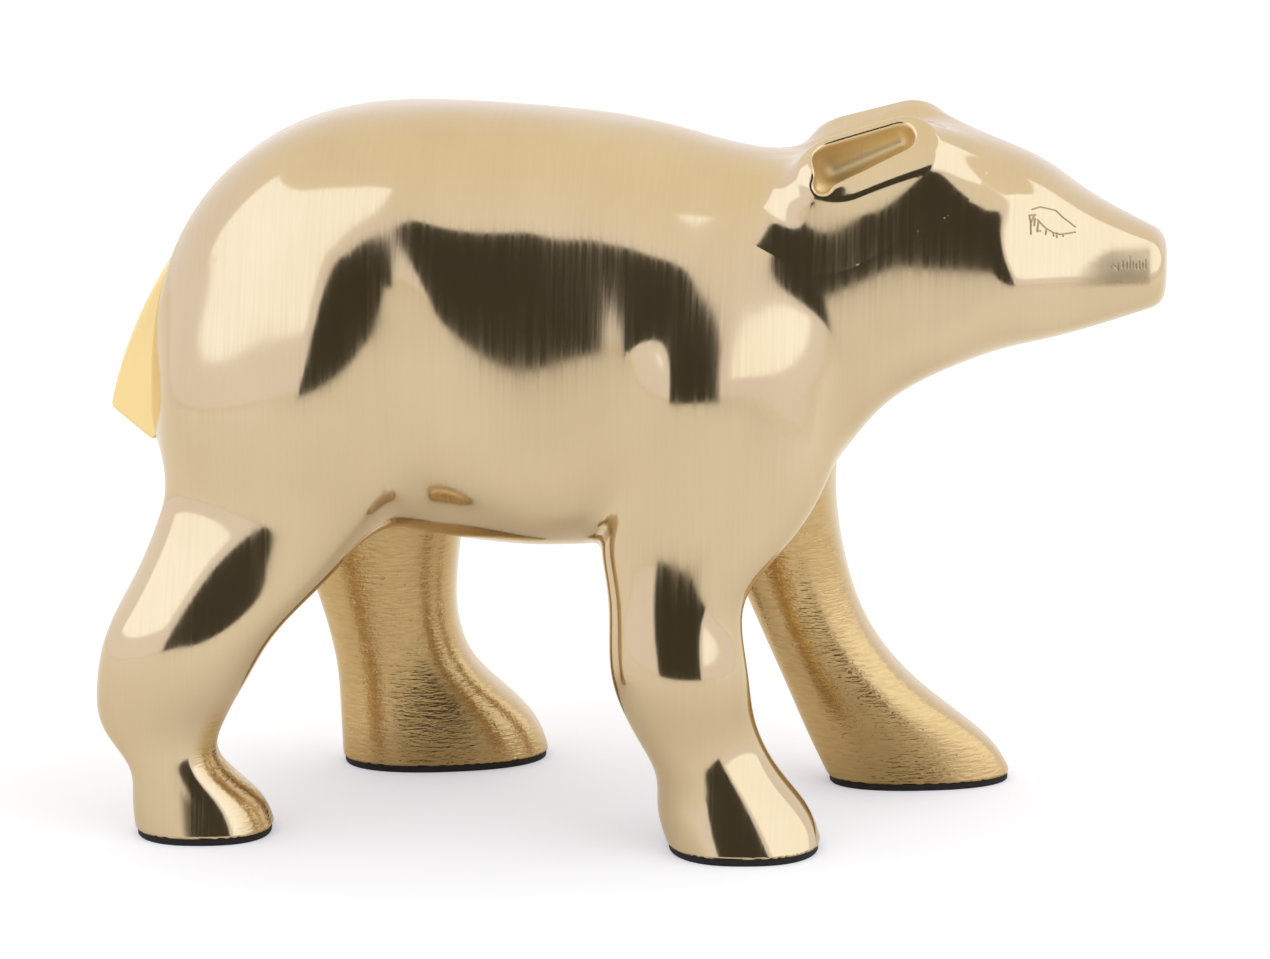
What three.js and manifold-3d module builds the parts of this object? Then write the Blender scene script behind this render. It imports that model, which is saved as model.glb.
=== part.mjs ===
// A walking bear cub, cast in brass: two hollow body halves joined on the middle plane,
// four solid legs seated on flat pads under the body, two cupped ears, a wedge tail and
// four thin rubber foot pads. Millimetres, nose along +X, the cub's left along +Y, +Z up.

import * as THREE from 'three';
import Module from 'manifold-3d';

const wasm = await Module();
wasm.setup();

// The whole figure
const figureLength = 175.1;     // from the hind leg's hock to the nose
const figureWidth = 71.7;       // across the hind legs
const figureHeight = 120.1;     // from the shelf to the tips of the ears

// Walls and fits
const wall = 3.2;               // thickness of the hollow body castings
const fit = 0.3;                // clearance between pieces that touch
const lipDepth = 2.4;           // how far the right half's lip reaches into the left half
const spigotRadius = 4;         // round spigot on top of each leg
const spigotLength = 8;
const padThickness = 1.2;       // rubber sheet under each foot
const padInset = 0.4;           // the rubber stops this far inside the sole's edge
const earPegRadius = 2;
const earPegLength = 8;
const earPegAt = 0.3;           // place of the peg, from the ear's rear to its tip
const earPegSink = 0.9;         // the peg's root lies this far below the hollow's floor
const tailPegRadius = 2.5;
const tailPegLength = 7;

// The form is drawn in hundredths of the figure's length, width and height
const lengthwise = (share) => (share / 100) * figureLength;
const crosswise = (share) => (share / 100) * figureWidth;
const upward = (share) => (share / 100) * figureHeight;

// Body: nose, rump and the hollow's front end
const noseX = lengthwise(49.8);
const noseRound = lengthwise(1.94);       // length of the rounded nose end
const nosePower = 4;                      // the higher, the flatter the nose front
const rumpX = lengthwise(-46.26);
const rumpStart = lengthwise(-18.28);     // where the back starts to fall to the rump
const rumpPower = 2.4;
const hollowFront = lengthwise(28.56);    // the head is solid ahead of this
const hollowRound = lengthwise(8);

// Body ribs from rump to nose: place, back line, belly line, height of the widest point, half width,
// squareness of the cross-section (2 is an ellipse)
const bodyRibs = [
  [-46.26, 99.25, 44.13, 56.62, 41.14, 2.8],
  [-34.27, 99.25, 42.63, 58.73, 42.2, 2.91],
  [-28.56, 99.25, 41.97, 62.21, 42.43, 2.53],
  [-25.13, 99.25, 41.3, 65.61, 40.93, 2.56],
  [-21.13, 99.25, 40.13, 75.05, 38.15, 2.49],
  [-17.7, 99.33, 39.3, 72.36, 39.26, 2.37],
  [-13.71, 99.17, 38.97, 63.91, 40.07, 2.43],
  [-8.57, 98.75, 38.97, 56.01, 39.27, 2.52],
  [-2.28, 97.92, 39.3, 60.42, 38.1, 2.57],
  [3.43, 96.5, 39.8, 64.54, 38.72, 2.24],
  [9.71, 94.17, 41.13, 63.26, 34.28, 2.33],
  [15.42, 93.34, 44.55, 67.02, 28.2, 2.59],
  [19.42, 94.42, 51.29, 68.06, 26.25, 3.18],
  [22.84, 96.25, 58.2, 69.84, 24.25, 3.11],
  [25.13, 97.34, 61.12, 73.04, 23.07, 3.23],
  [27.41, 98, 63.2, 71.79, 23.53, 3.03],
  [29.7, 97.59, 64.95, 72.71, 23.84, 3.08],
  [32.55, 96.25, 66.53, 75.49, 23.51, 2.73],
  [35.41, 94.67, 67.78, 77.85, 24.2, 2.34],
  [38.26, 92.92, 68.78, 76.77, 22.87, 2.4],
  [42.26, 88.68, 70.36, 77.1, 19.25, 2.4],
  [46.26, 85.6, 72.19, 77.6, 15.06, 2.3],
  [49.8, 83.18, 73.94, 78.27, 11.72, 2.3],
].map(([at, top, bottom, wide, half, square]) => ({
  at: lengthwise(at),
  top: upward(top),
  bottom: upward(bottom),
  wide: upward(wide),
  half: crosswise(half),
  square,
}));

// Two flat cuts on each side of the muzzle, from the cheek edge to the nose, meeting in a ridge
const muzzleEdge = { x: lengthwise(36.21), y: crosswise(23.85), z: upward(77.44) };
const muzzleTurn = THREE.MathUtils.degToRad(22);   // how far the cuts face forward
const muzzleLeans = [13, -12].map(THREE.MathUtils.degToRad);   // how far they face up

// Legs: height of the crown inside the body, place of the spigot, and ribs from the sole up, each
// with its height, rear edge, front edge, middle across, half width, turn in degrees and squareness.
// The lowest rib lies on the rubber. The legs differ: the cub is caught in mid-stride.
const legSeat = upward(36.64);            // the flat pads that the legs butt against
const crownDrop = upward(19.98);          // height over which a leg rounds off into the body
const crownPower = 2.2;
function drawnLeg(crown, spigotX, spigotY, ribs) {
  return {
    crown: upward(crown),
    spigot: { x: lengthwise(spigotX), y: crosswise(spigotY) },
    ribs: ribs.map(([at, rear, front, mid, half, turn, square], k) => ({
      at: k === 0 ? padThickness : upward(at),
      rear: lengthwise(rear),
      front: lengthwise(front),
      mid: crosswise(mid),
      half: crosswise(half),
      turn: THREE.MathUtils.degToRad(turn),
      square,
    })),
  };
}

const legs = {
  right_front: drawnLeg(84.1, 6, -28.23, [
    [0, 4.45, 18.96, -28.73, 17.02, 8, 2.4],
    [5, 3.46, 18.12, -28.61, 15.36, 12.93, 2.21],
    [9.99, 3.66, 15.11, -28.05, 14.53, 10.19, 2.19],
    [15.82, 1.33, 12.95, -28.06, 13.72, 7.43, 2.15],
    [24.15, -0.58, 12.26, -32.69, 13.25, 5.74, 2.12],
    [34.97, -1.04, 11.61, -28.08, 13.63, 5.49, 2.47],
    [43.3, -1.91, 16.28, -25.41, 14.25, 5.83, 2.48],
    [52.46, 0.27, 19.42, -24.25, 14.63, 15.18, 2.94],
    [65.78, 0.37, 19.33, -21.62, 16.08, 23.97, 3.06],
    [84.1, 2.55, 17.7, -14.46, 15.47, 16.75, 3.07],
  ]),
  left_front: drawnLeg(84.1, 12.56, 28.37, [
    [0, 17.59, 35.64, 30.4, 11.72, 12, 2.3],
    [5, 16.22, 34.27, 30.4, 11.72, 11, 2.3],
    [9.16, 14.96, 30.84, 29.57, 12.27, 9, 2.3],
    [14.99, 13.25, 25.81, 29.01, 12.55, 5, 2.3],
    [22.48, 10.97, 21.7, 29.01, 12.83, 2, 2.3],
    [31.64, 8.22, 19.3, 29.29, 13.67, 0, 2.3],
    [43.3, 4.91, 18.16, 27.06, 14.78, -6, 2.5],
    [52.46, 3.2, 18.62, 24.83, 15.9, -12, 2.9],
    [65.78, 0.37, 19.33, 21.62, 16.08, -23.97, 3.06],
    [84.1, 2.55, 17.7, 14.46, 15.47, -16.75, 3.07],
  ]),
  right_hind: drawnLeg(79.93, -36.26, -29.21, [
    [0, -46.15, -33.01, -31.52, 13.95, 8, 2.4],
    [5, -46.45, -33.92, -31.88, 12.58, 9.62, 2.4],
    [9.99, -46.16, -38.37, -33.19, 10.89, 5.83, 2.74],
    [14.99, -49.15, -37.83, -32.96, 11.05, 10.97, 2.63],
    [22.48, -49.18, -34.89, -34.38, 14.23, 6.11, 2.46],
    [29.14, -48.22, -32.21, -33.26, 15.24, 5.48, 2.6],
    [38.3, -45.12, -26.05, -28.31, 15.34, 7.09, 2.49],
    [47.46, -43.06, -21.63, -25.23, 15.63, -3.99, 2.27],
    [59.95, -42.6, -22.59, -24.45, 18.33, -8.38, 2.6],
    [79.93, -39.41, -19.19, -20.98, 16.35, -22.06, 2.68],
  ]),
  left_hind: drawnLeg(79.93, -27.7, 30.88, [
    [0, -31.07, -10.51, 34.87, 14.5, 15, 2.3],
    [5, -31.18, -11.31, 34.87, 14.23, 14, 2.3],
    [9.16, -31.3, -13.71, 34.59, 13.67, 11, 2.3],
    [14.15, -31.52, -17.7, 34.31, 13.11, 7, 2.3],
    [21.65, -32.67, -19.53, 33.75, 13.39, 2, 2.3],
    [31.64, -34.84, -19.19, 32.64, 15.06, 0, 2.3],
    [41.63, -36.89, -18.05, 29.57, 16.18, 4, 2.5],
    [49.96, -39.41, -18.28, 26.78, 17.29, 10, 2.6],
    [59.95, -42.6, -22.59, 24.45, 18.33, 8.38, 2.6],
    [79.93, -39.41, -19.19, 20.98, 16.35, 22.06, 2.68],
  ]),
};

// Ear: a round-ended scoop, larger at the rear than at the tip, its mouth facing out and up, with a
// lobe hanging from its rear end
const ear = {
  rear: new THREE.Vector3(lengthwise(17.36), crosswise(22.32), upward(93.09)),
  tip: new THREE.Vector3(lengthwise(27.87), crosswise(16.46), upward(97.9)),
  mouth: new THREE.Vector3(0.2, 0.8, 0.45),
  rearRadius: upward(4.16),
  tipRadius: upward(3.08),
  deep: 1.4,                    // the scoop's depth below the mouth, as a share of its half width
  rise: crosswise(1.26),        // the mouth lies this far outside the scoop's axis
  rim: upward(1.92),            // thickness of the lip round the mouth
  hollow: 0.75,                 // the hollow's depth as a share of its half width
  lobeTop: new THREE.Vector3(lengthwise(17.48), crosswise(20.92), upward(91.59)),
  lobeLow: new THREE.Vector3(lengthwise(16.79), crosswise(19.25), upward(88.43)),
  lobeRadius: upward(2.33),
};

// Tail: a flat wedge hanging on the rump
const tailThickness = crosswise(12.55);
const tailTop = { x: lengthwise(-42.26), z: upward(81.6) };
const tailTip = { x: lengthwise(-50.2), z: upward(56.29) };
const tailHeel = { x: lengthwise(-46.26), z: upward(51.62) };
const tailRoot = { x: lengthwise(-38.83), z: upward(56.62) };
const tailBow = { x: lengthwise(-48.54), z: upward(68.69) };

// How finely the castings are faceted
const bodySides = 28;
const bodySteps = 32;
const hollowSides = 16;
const hollowSteps = 14;
const legSides = 18;
const legSteps = 20;
const earSides = 14;
const earSteps = 5;
const pinSides = 16;

// A smooth curve through the ribs: cubic pieces whose slopes come from the neighbouring ribs.
function along(ribs, key, at) {
  const last = ribs.length - 1;
  let i = 0;
  while (i < last - 1 && at > ribs[i + 1].at) i += 1;
  const slope = (k) => {
    const a = ribs[Math.max(k - 1, 0)];
    const b = ribs[Math.min(k + 1, last)];
    return (b[key] - a[key]) / (b.at - a.at);
  };
  const span = ribs[i + 1].at - ribs[i].at;
  const t = THREE.MathUtils.clamp((at - ribs[i].at) / span, 0, 1);
  const start = ribs[i][key] * (1 + 2 * t) * (1 - t) ** 2 + slope(i) * span * t * (1 - t) ** 2;
  const end = ribs[i + 1][key] * t * t * (3 - 2 * t) + slope(i + 1) * span * t * t * (t - 1);
  return start + end;
}

// Height of a rounded end: 1 where the rounding starts, 0 at the tip.
function rounded(t, power) {
  const reach = THREE.MathUtils.clamp(t, 0, 1);
  return (1 - reach ** power) ** (1 / power);
}

// Point on a superellipse of unit size.
function unitPoint(angle, power) {
  const c = Math.cos(angle);
  const s = Math.sin(angle);
  return [Math.sign(c) * Math.abs(c) ** (2 / power), Math.sign(s) * Math.abs(s) ** (2 / power)];
}

// Closed solid through a row of rings, with a point at each end.
function loft(rings, startPoint, endPoint) {
  const sides = rings[0].length;
  const points = rings.flat();
  const start = points.push(startPoint) - 1;
  const end = points.push(endPoint) - 1;
  const faces = [];
  for (let k = 0; k < sides; k += 1) {
    const next = (k + 1) % sides;
    faces.push(start, next, k);
    for (let r = 0; r < rings.length - 1; r += 1) {
      const a = r * sides;
      const b = a + sides;
      faces.push(a + k, a + next, b + next);
      faces.push(a + k, b + next, b + k);
    }
    const lastRing = (rings.length - 1) * sides;
    faces.push(lastRing + k, lastRing + next, end);
  }
  return solidOf(points, faces);
}

function solidOf(points, faces) {
  const vertProperties = new Float32Array(points.flatMap((p) => [p.x, p.y, p.z]));
  return new wasm.Manifold(new wasm.Mesh({
    numProp: 3, vertProperties, triVerts: new Uint32Array(faces),
  }));
}

// A three.js geometry, placed by a matrix, as a closed solid with shared corners.
function solidFrom(geometry, matrix) {
  const place = geometry.clone().applyMatrix4(matrix).getAttribute('position');
  const index = geometry.getIndex();
  const count = index ? index.count : place.count;
  const points = [];
  const known = new Map();
  const faces = [];
  for (let k = 0; k < count; k += 1) {
    const p = new THREE.Vector3().fromBufferAttribute(place, index ? index.getX(k) : k);
    const key = p.toArray().map((v) => Math.round(v * 1e4)).join();
    if (!known.has(key)) known.set(key, points.push(p) - 1);
    faces.push(known.get(key));
  }
  const whole = [];
  for (let k = 0; k < faces.length; k += 3) {
    const [a, b, c] = faces.slice(k, k + 3);
    if (a !== b && b !== c && c !== a) whole.push(a, b, c);
  }
  return solidOf(points, whole);
}

// Half space as a large box: everything on the side that the axis points to.
const reach = 400;
function beyond(axis, from) {
  const centre = axis.clone().multiplyScalar(reach / 2).add(from);
  const turn = new THREE.Quaternion().setFromUnitVectors(new THREE.Vector3(0, 0, 1), axis);
  const matrix = new THREE.Matrix4().compose(centre, turn, new THREE.Vector3(1, 1, 1));
  return solidFrom(new THREE.BoxGeometry(reach, reach, reach), matrix);
}

// Round pin from one point towards another direction.
function pin(from, axis, radius, length) {
  const turn = new THREE.Quaternion().setFromUnitVectors(new THREE.Vector3(0, 1, 0), axis);
  const centre = axis.clone().multiplyScalar(length / 2).add(from);
  const matrix = new THREE.Matrix4().compose(centre, turn, new THREE.Vector3(1, 1, 1));
  return solidFrom(new THREE.CylinderGeometry(radius, radius, length, pinSides), matrix);
}

// Body: rings across X, drawn in by inset, from the rump to the given front end
function bodySolid(inset, front, frontRound, frontPower, sides, steps) {
  const rear = rumpX + inset;
  const section = (x) => {
    const rump = rounded((rumpStart - x) / (rumpStart - rear), rumpPower);
    const nose = rounded((x - front + frontRound) / frontRound, frontPower);
    const scale = rump * nose;
    const wide = along(bodyRibs, 'wide', x);
    const half = (along(bodyRibs, 'half', x) - inset) * scale;
    const up = (along(bodyRibs, 'top', x) - inset - wide) * scale;
    const down = (wide - along(bodyRibs, 'bottom', x) - inset) * scale;
    return { wide, half, up, down };
  };
  const rings = [];
  for (let k = 1; k < steps; k += 1) {
    const x = THREE.MathUtils.lerp(rear, front, (1 - Math.cos((Math.PI * k) / steps)) / 2);
    const { wide, half, up, down } = section(x);
    const square = along(bodyRibs, 'square', x);
    const ring = [];
    for (let s = 0; s < sides; s += 1) {
      const [y, z] = unitPoint((2 * Math.PI * s) / sides, square);
      ring.push(new THREE.Vector3(x, half * y, wide + z * (z > 0 ? up : down)));
    }
    rings.push(ring);
  }
  const startPoint = new THREE.Vector3(rear, 0, section(rear).wide);
  const endPoint = new THREE.Vector3(front, 0, section(front).wide);
  return loft(rings, startPoint, endPoint);
}

function muzzleCut(side, lean) {
  const axis = new THREE.Vector3(
    Math.sin(muzzleTurn) * Math.cos(lean),
    side * Math.cos(muzzleTurn) * Math.cos(lean),
    Math.sin(lean),
  );
  return beyond(axis, new THREE.Vector3(muzzleEdge.x, side * muzzleEdge.y, muzzleEdge.z));
}

// Leg: level rings from the sole to the rounded crown inside the body
function legRing(leg, z, inset) {
  const { ribs, crown } = leg;
  const scale = rounded((z - crown + crownDrop) / crownDrop, crownPower);
  const rear = along(ribs, 'rear', z);
  const front = along(ribs, 'front', z);
  const turn = along(ribs, 'turn', z);
  const square = along(ribs, 'square', z);
  const ring = [];
  for (let s = 0; s < legSides; s += 1) {
    const [u, v] = unitPoint((2 * Math.PI * s) / legSides, square);
    const length = u * ((front - rear) / 2 - inset) * scale;
    const width = v * (along(ribs, 'half', z) - inset) * scale;
    ring.push(new THREE.Vector3(
      (rear + front) / 2 + length * Math.cos(turn) - width * Math.sin(turn),
      along(ribs, 'mid', z) + length * Math.sin(turn) + width * Math.cos(turn),
      z,
    ));
  }
  return ring;
}

function legSolid(leg) {
  const sole = leg.ribs[0].at;
  const rings = [];
  for (let k = 0; k < legSteps; k += 1) {
    rings.push(legRing(leg, THREE.MathUtils.lerp(sole, leg.crown, k / legSteps), 0));
  }
  const middle = (z) => new THREE.Vector3(
    (along(leg.ribs, 'rear', z) + along(leg.ribs, 'front', z)) / 2, along(leg.ribs, 'mid', z), z,
  );
  return loft(rings, middle(sole), middle(leg.crown));
}

function footPad(leg) {
  const outline = new THREE.Shape(
    legRing(leg, leg.ribs[0].at, padInset).map((p) => new THREE.Vector2(p.x, p.y)),
  );
  const sheet = { depth: padThickness - fit, bevelEnabled: false };
  return solidFrom(new THREE.ExtrudeGeometry(outline, sheet), new THREE.Matrix4());
}

// Ear: a round-ended cone, cut off at the mouth and hollowed
function mirrored(v, side) {
  return new THREE.Vector3(v.x, side * v.y, v.z);
}

function earFrame(side) {
  const long = mirrored(ear.tip, side).sub(mirrored(ear.rear, side)).normalize();
  const open = mirrored(ear.mouth, side);
  open.addScaledVector(long, -open.dot(long)).normalize();
  const across = new THREE.Vector3().crossVectors(long, open);
  return new THREE.Matrix4().makeBasis(across, long, open).setPosition(mirrored(ear.rear, side));
}

// Round-ended cone along the ear's axis, drawn in by inset and squashed across the mouth
function earCone(frame, inset, squash) {
  const { rearRadius, tipRadius } = ear;
  const span = ear.tip.distanceTo(ear.rear) - rearRadius - tipRadius;
  const slant = Math.asin((rearRadius - tipRadius) / span);
  const arc = (radius, centre, from, to) => [...Array(earSteps + 1).keys()].map((k) => {
    const angle = THREE.MathUtils.lerp(from, to, k / earSteps);
    return new THREE.Vector2(radius * Math.cos(angle), centre + radius * Math.sin(angle));
  });
  const profile = [
    ...arc(rearRadius - inset, rearRadius, -Math.PI / 2, slant),
    ...arc(tipRadius - inset, rearRadius + span, slant, Math.PI / 2),
  ];
  const flat = new THREE.Matrix4().makeScale(1, 1, squash);
  return solidFrom(new THREE.LatheGeometry(profile, earSides), frame.clone().multiply(flat));
}

function earScoop(side) {
  const frame = earFrame(side);
  const open = new THREE.Vector3().setFromMatrixColumn(frame, 2);
  const mouth = mirrored(ear.rear, side).addScaledVector(open, ear.rise);
  return earCone(frame, 0, ear.deep)
    .subtract(beyond(open, mouth))
    .subtract(earCone(frame, ear.rim, ear.hollow));
}

function earLobe(side) {
  const top = mirrored(ear.lobeTop, side);
  const low = mirrored(ear.lobeLow, side);
  const turn = new THREE.Quaternion().setFromUnitVectors(
    new THREE.Vector3(0, 1, 0), top.clone().sub(low).normalize(),
  );
  const place = new THREE.Matrix4().compose(top.clone().lerp(low, 0.5), turn, new THREE.Vector3(1, 1, 1));
  return solidFrom(new THREE.CapsuleGeometry(ear.lobeRadius, top.distanceTo(low), earSteps, earSides), place);
}

// The peg starts in the scoop's back wall and runs straight into the head
function earPeg(side, radius, length) {
  const inward = new THREE.Vector3().setFromMatrixColumn(earFrame(side), 2).negate();
  const floor = (ear.rearRadius - ear.rim) * ear.hollow;
  const start = mirrored(ear.rear, side)
    .lerp(mirrored(ear.tip, side), earPegAt)
    .addScaledVector(inward, floor + earPegSink);
  return pin(start, inward, radius, length);
}

// Tail: bowed side outline, extruded across the middle plane
function tailWedge() {
  const outline = new THREE.Shape();
  outline.moveTo(tailTop.x, tailTop.z);
  outline.quadraticCurveTo(tailBow.x, tailBow.z, tailTip.x, tailTip.z);
  outline.lineTo(tailHeel.x, tailHeel.z);
  outline.lineTo(tailRoot.x, tailRoot.z);
  const plate = { depth: tailThickness, bevelEnabled: false, curveSegments: 8 };
  const upright = new THREE.Matrix4().makeRotationX(Math.PI / 2).setPosition(0, tailThickness / 2, 0);
  return solidFrom(new THREE.ExtrudeGeometry(outline, plate), upright);
}

const tailPegFrom = new THREE.Vector3((tailHeel.x + tailTip.x) / 2, 0, (tailHeel.z + tailBow.z) / 2);
const forward = new THREE.Vector3(1, 0, 0);
const up = new THREE.Vector3(0, 0, 1);

// Castings as lofts, then cut apart on the middle plane and at the leg seats
let outer = bodySolid(0, noseX, noseRound, nosePower, bodySides, bodySteps);
for (const lean of muzzleLeans) {
  outer = outer.subtract(muzzleCut(1, lean)).subtract(muzzleCut(-1, lean));
}
const swollen = bodySolid(-fit, noseX + fit, noseRound, nosePower, bodySides, bodySteps);
const hollow = bodySolid(wall, hollowFront, hollowRound, 2, hollowSides, hollowSteps);
const lipOuter = bodySolid(wall / 2, hollowFront + wall / 2, hollowRound, 2, hollowSides, hollowSteps);
const lipRoom = bodySolid(
  wall / 2 - fit, hollowFront + wall / 2 + fit, hollowRound, 2, hollowSides, hollowSteps,
);

const seatBelow = beyond(up.clone().negate(), new THREE.Vector3(0, 0, legSeat - fit / 2));
const seatAbove = beyond(up, new THREE.Vector3(0, 0, legSeat + fit / 2));
const solids = {};
let body = outer;
for (const [name, leg] of Object.entries(legs)) {
  const whole = legSolid(leg);
  const foot = new THREE.Vector3(leg.spigot.x, leg.spigot.y, legSeat - spigotLength);
  const spigot = pin(foot, up, spigotRadius, 2 * spigotLength);
  const socket = pin(foot, up, spigotRadius + fit, 2 * spigotLength + fit);
  solids[`${name}_leg`] = whole.intersect(seatBelow).add(spigot);
  solids[`${name}_pad`] = footPad(leg);
  body = body.add(whole.intersect(seatAbove)).subtract(socket);
}
body = body.subtract(hollow);

const tailPeg = pin(tailPegFrom, forward, tailPegRadius, tailPegLength + tailHeel.x - tailPegFrom.x);
const tailHole = pin(tailPegFrom, forward, tailPegRadius + fit, reach / 8);
solids.tail = tailWedge().subtract(swollen).add(tailPeg);
body = body.subtract(tailHole);

for (const [name, side] of [['right_ear', -1], ['left_ear', 1]]) {
  const cup = earScoop(side).add(earLobe(side)).subtract(swollen);
  solids[name] = cup.add(earPeg(side, earPegRadius, earPegLength));
  body = body.subtract(earPeg(side, earPegRadius + fit, earPegLength + 2 * fit));
}

const rightSide = beyond(new THREE.Vector3(0, -1, 0), new THREE.Vector3(0, -fit / 2, 0));
const leftSide = beyond(new THREE.Vector3(0, 1, 0), new THREE.Vector3(0, fit / 2, 0));
const lipSlab = (depth) => solidFrom(
  new THREE.BoxGeometry(reach, 2 * depth, reach), new THREE.Matrix4(),
);
const lip = lipOuter.subtract(hollow).subtract(tailHole).intersect(lipSlab(lipDepth));
const lipGroove = lipRoom.intersect(lipSlab(lipDepth + fit));
solids.right_shell = body.intersect(rightSide).add(lip);
solids.left_shell = body.intersect(leftSide).subtract(lipGroove);

// Meshes, each with its own material
const brass = { color: 0xd8bf8a, roughness: 0.2, metalness: 1 };
const rubber = { color: 0x141312, roughness: 0.8, metalness: 0 };
const figure = new THREE.Group();
for (const [name, solid] of Object.entries(solids)) {
  const { numProp, vertProperties, triVerts } = solid.getMesh();
  const place = new Float32Array((vertProperties.length / numProp) * 3);
  for (let k = 0; k < place.length; k += 1) {
    place[k] = vertProperties[Math.floor(k / 3) * numProp + (k % 3)];
  }
  const geometry = new THREE.BufferGeometry();
  geometry.setAttribute('position', new THREE.BufferAttribute(place, 3));
  geometry.setIndex(new THREE.BufferAttribute(triVerts, 1));
  geometry.computeVertexNormals();
  const finish = name.endsWith('_pad') ? rubber : brass;
  const mesh = new THREE.Mesh(geometry, new THREE.MeshStandardMaterial(finish));
  mesh.name = name;
  figure.add(mesh);
}

// The origin is under the middle of the cub, on the surface that it stands on
const extent = new THREE.Box3().setFromObject(figure);
const middle = extent.getCenter(new THREE.Vector3());
figure.position.set(-middle.x, -middle.y, -extent.min.z);
figure.updateMatrixWorld(true);

export default figure;
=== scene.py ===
import math
import bmesh
import bpy
import numpy as np
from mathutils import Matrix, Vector


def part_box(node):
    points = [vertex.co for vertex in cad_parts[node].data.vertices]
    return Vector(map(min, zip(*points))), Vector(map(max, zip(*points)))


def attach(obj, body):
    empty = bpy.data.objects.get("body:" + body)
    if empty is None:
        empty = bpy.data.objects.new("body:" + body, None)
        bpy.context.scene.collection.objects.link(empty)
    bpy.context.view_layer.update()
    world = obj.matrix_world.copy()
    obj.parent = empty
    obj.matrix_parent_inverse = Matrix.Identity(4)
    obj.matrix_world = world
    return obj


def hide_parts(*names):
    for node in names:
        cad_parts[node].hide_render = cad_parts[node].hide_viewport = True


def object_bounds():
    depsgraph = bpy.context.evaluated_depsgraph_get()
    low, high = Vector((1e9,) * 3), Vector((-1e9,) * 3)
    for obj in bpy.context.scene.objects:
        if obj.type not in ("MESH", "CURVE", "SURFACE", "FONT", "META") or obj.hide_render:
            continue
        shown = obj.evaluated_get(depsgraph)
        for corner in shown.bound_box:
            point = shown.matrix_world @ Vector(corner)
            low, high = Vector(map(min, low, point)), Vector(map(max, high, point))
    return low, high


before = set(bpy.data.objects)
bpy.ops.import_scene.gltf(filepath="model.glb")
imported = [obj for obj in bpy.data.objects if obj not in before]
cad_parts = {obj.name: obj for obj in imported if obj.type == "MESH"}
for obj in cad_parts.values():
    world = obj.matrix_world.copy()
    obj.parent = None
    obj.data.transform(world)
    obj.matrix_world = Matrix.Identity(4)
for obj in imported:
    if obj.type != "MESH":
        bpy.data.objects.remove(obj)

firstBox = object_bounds()

# The cub is modelled in millimetres about its own middle plane and set into the frame in metres.
bodyForm = {
    "ribs": [   # place, back line, belly line, height of the widest point, half width, squareness
        (-81, 119.2, 53, 68, 29.5, 2.8), (-60, 119.2, 51.2, 70.54, 30.26, 2.91),
        (-50, 119.2, 50.4, 74.72, 30.42, 2.53), (-44, 119.2, 49.6, 78.8, 29.35, 2.56),
        (-37, 119.2, 48.2, 90.14, 27.35, 2.49), (-31, 119.3, 47.2, 86.91, 28.15, 2.37),
        (-24, 119.1, 46.8, 76.76, 28.73, 2.43), (-15, 118.6, 46.8, 67.27, 28.16, 2.52),
        (-4, 117.6, 47.2, 72.56, 27.32, 2.57), (6, 115.9, 47.8, 77.51, 27.76, 2.24),
        (17, 113.1, 49.4, 75.98, 24.58, 2.33), (27, 112.1, 53.5, 80.49, 20.22, 2.59),
        (34, 113.4, 61.6, 81.74, 18.82, 3.18), (40, 115.6, 69.9, 83.88, 17.39, 3.11),
        (44, 116.9, 73.4, 87.72, 16.54, 3.23), (48, 117.7, 75.9, 86.22, 16.87, 3.03),
        (52, 117.2, 78, 87.33, 17.09, 3.08), (57, 115.6, 79.9, 90.66, 16.86, 2.73),
        (62, 113.7, 81.4, 93.5, 17.35, 2.34), (67, 111.6, 82.6, 92.2, 16.4, 2.4),
        (74, 106.5, 84.5, 92.6, 13.8, 2.4), (81, 102.8, 86.7, 93.2, 10.8, 2.3),
        (87.2, 99.9, 88.8, 94, 8.4, 2.3)],
    "nose": 87.2, "noseRound": 3.4, "nosePower": 4,
    "rump": -81, "rumpStart": -32, "rumpPower": 2.4,
    "edge": (63.4, 17.1, 93), "turn": 22, "leans": (13, -12),      # flat cuts on each side of the muzzle
    "lips": {"height": 1.2, "x": (72, 92), "z": (96.5, 100.5)},            # slight swelling round the mouth
    "frontBlend": 3.77, "hindBlend": 7.41, "cutBlend": 0.7, "ridgeBlend": 1.2, "soleBlend": 0.4,
    "ends": (-90, 90), "reach": 37, "past": 2, "ceiling": 122, "step": 0.8,       # meshed region
    "filed": {"gain": 1.6, "top": 62, "fade": 6},                          # inner faces low on the body
}

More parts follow.
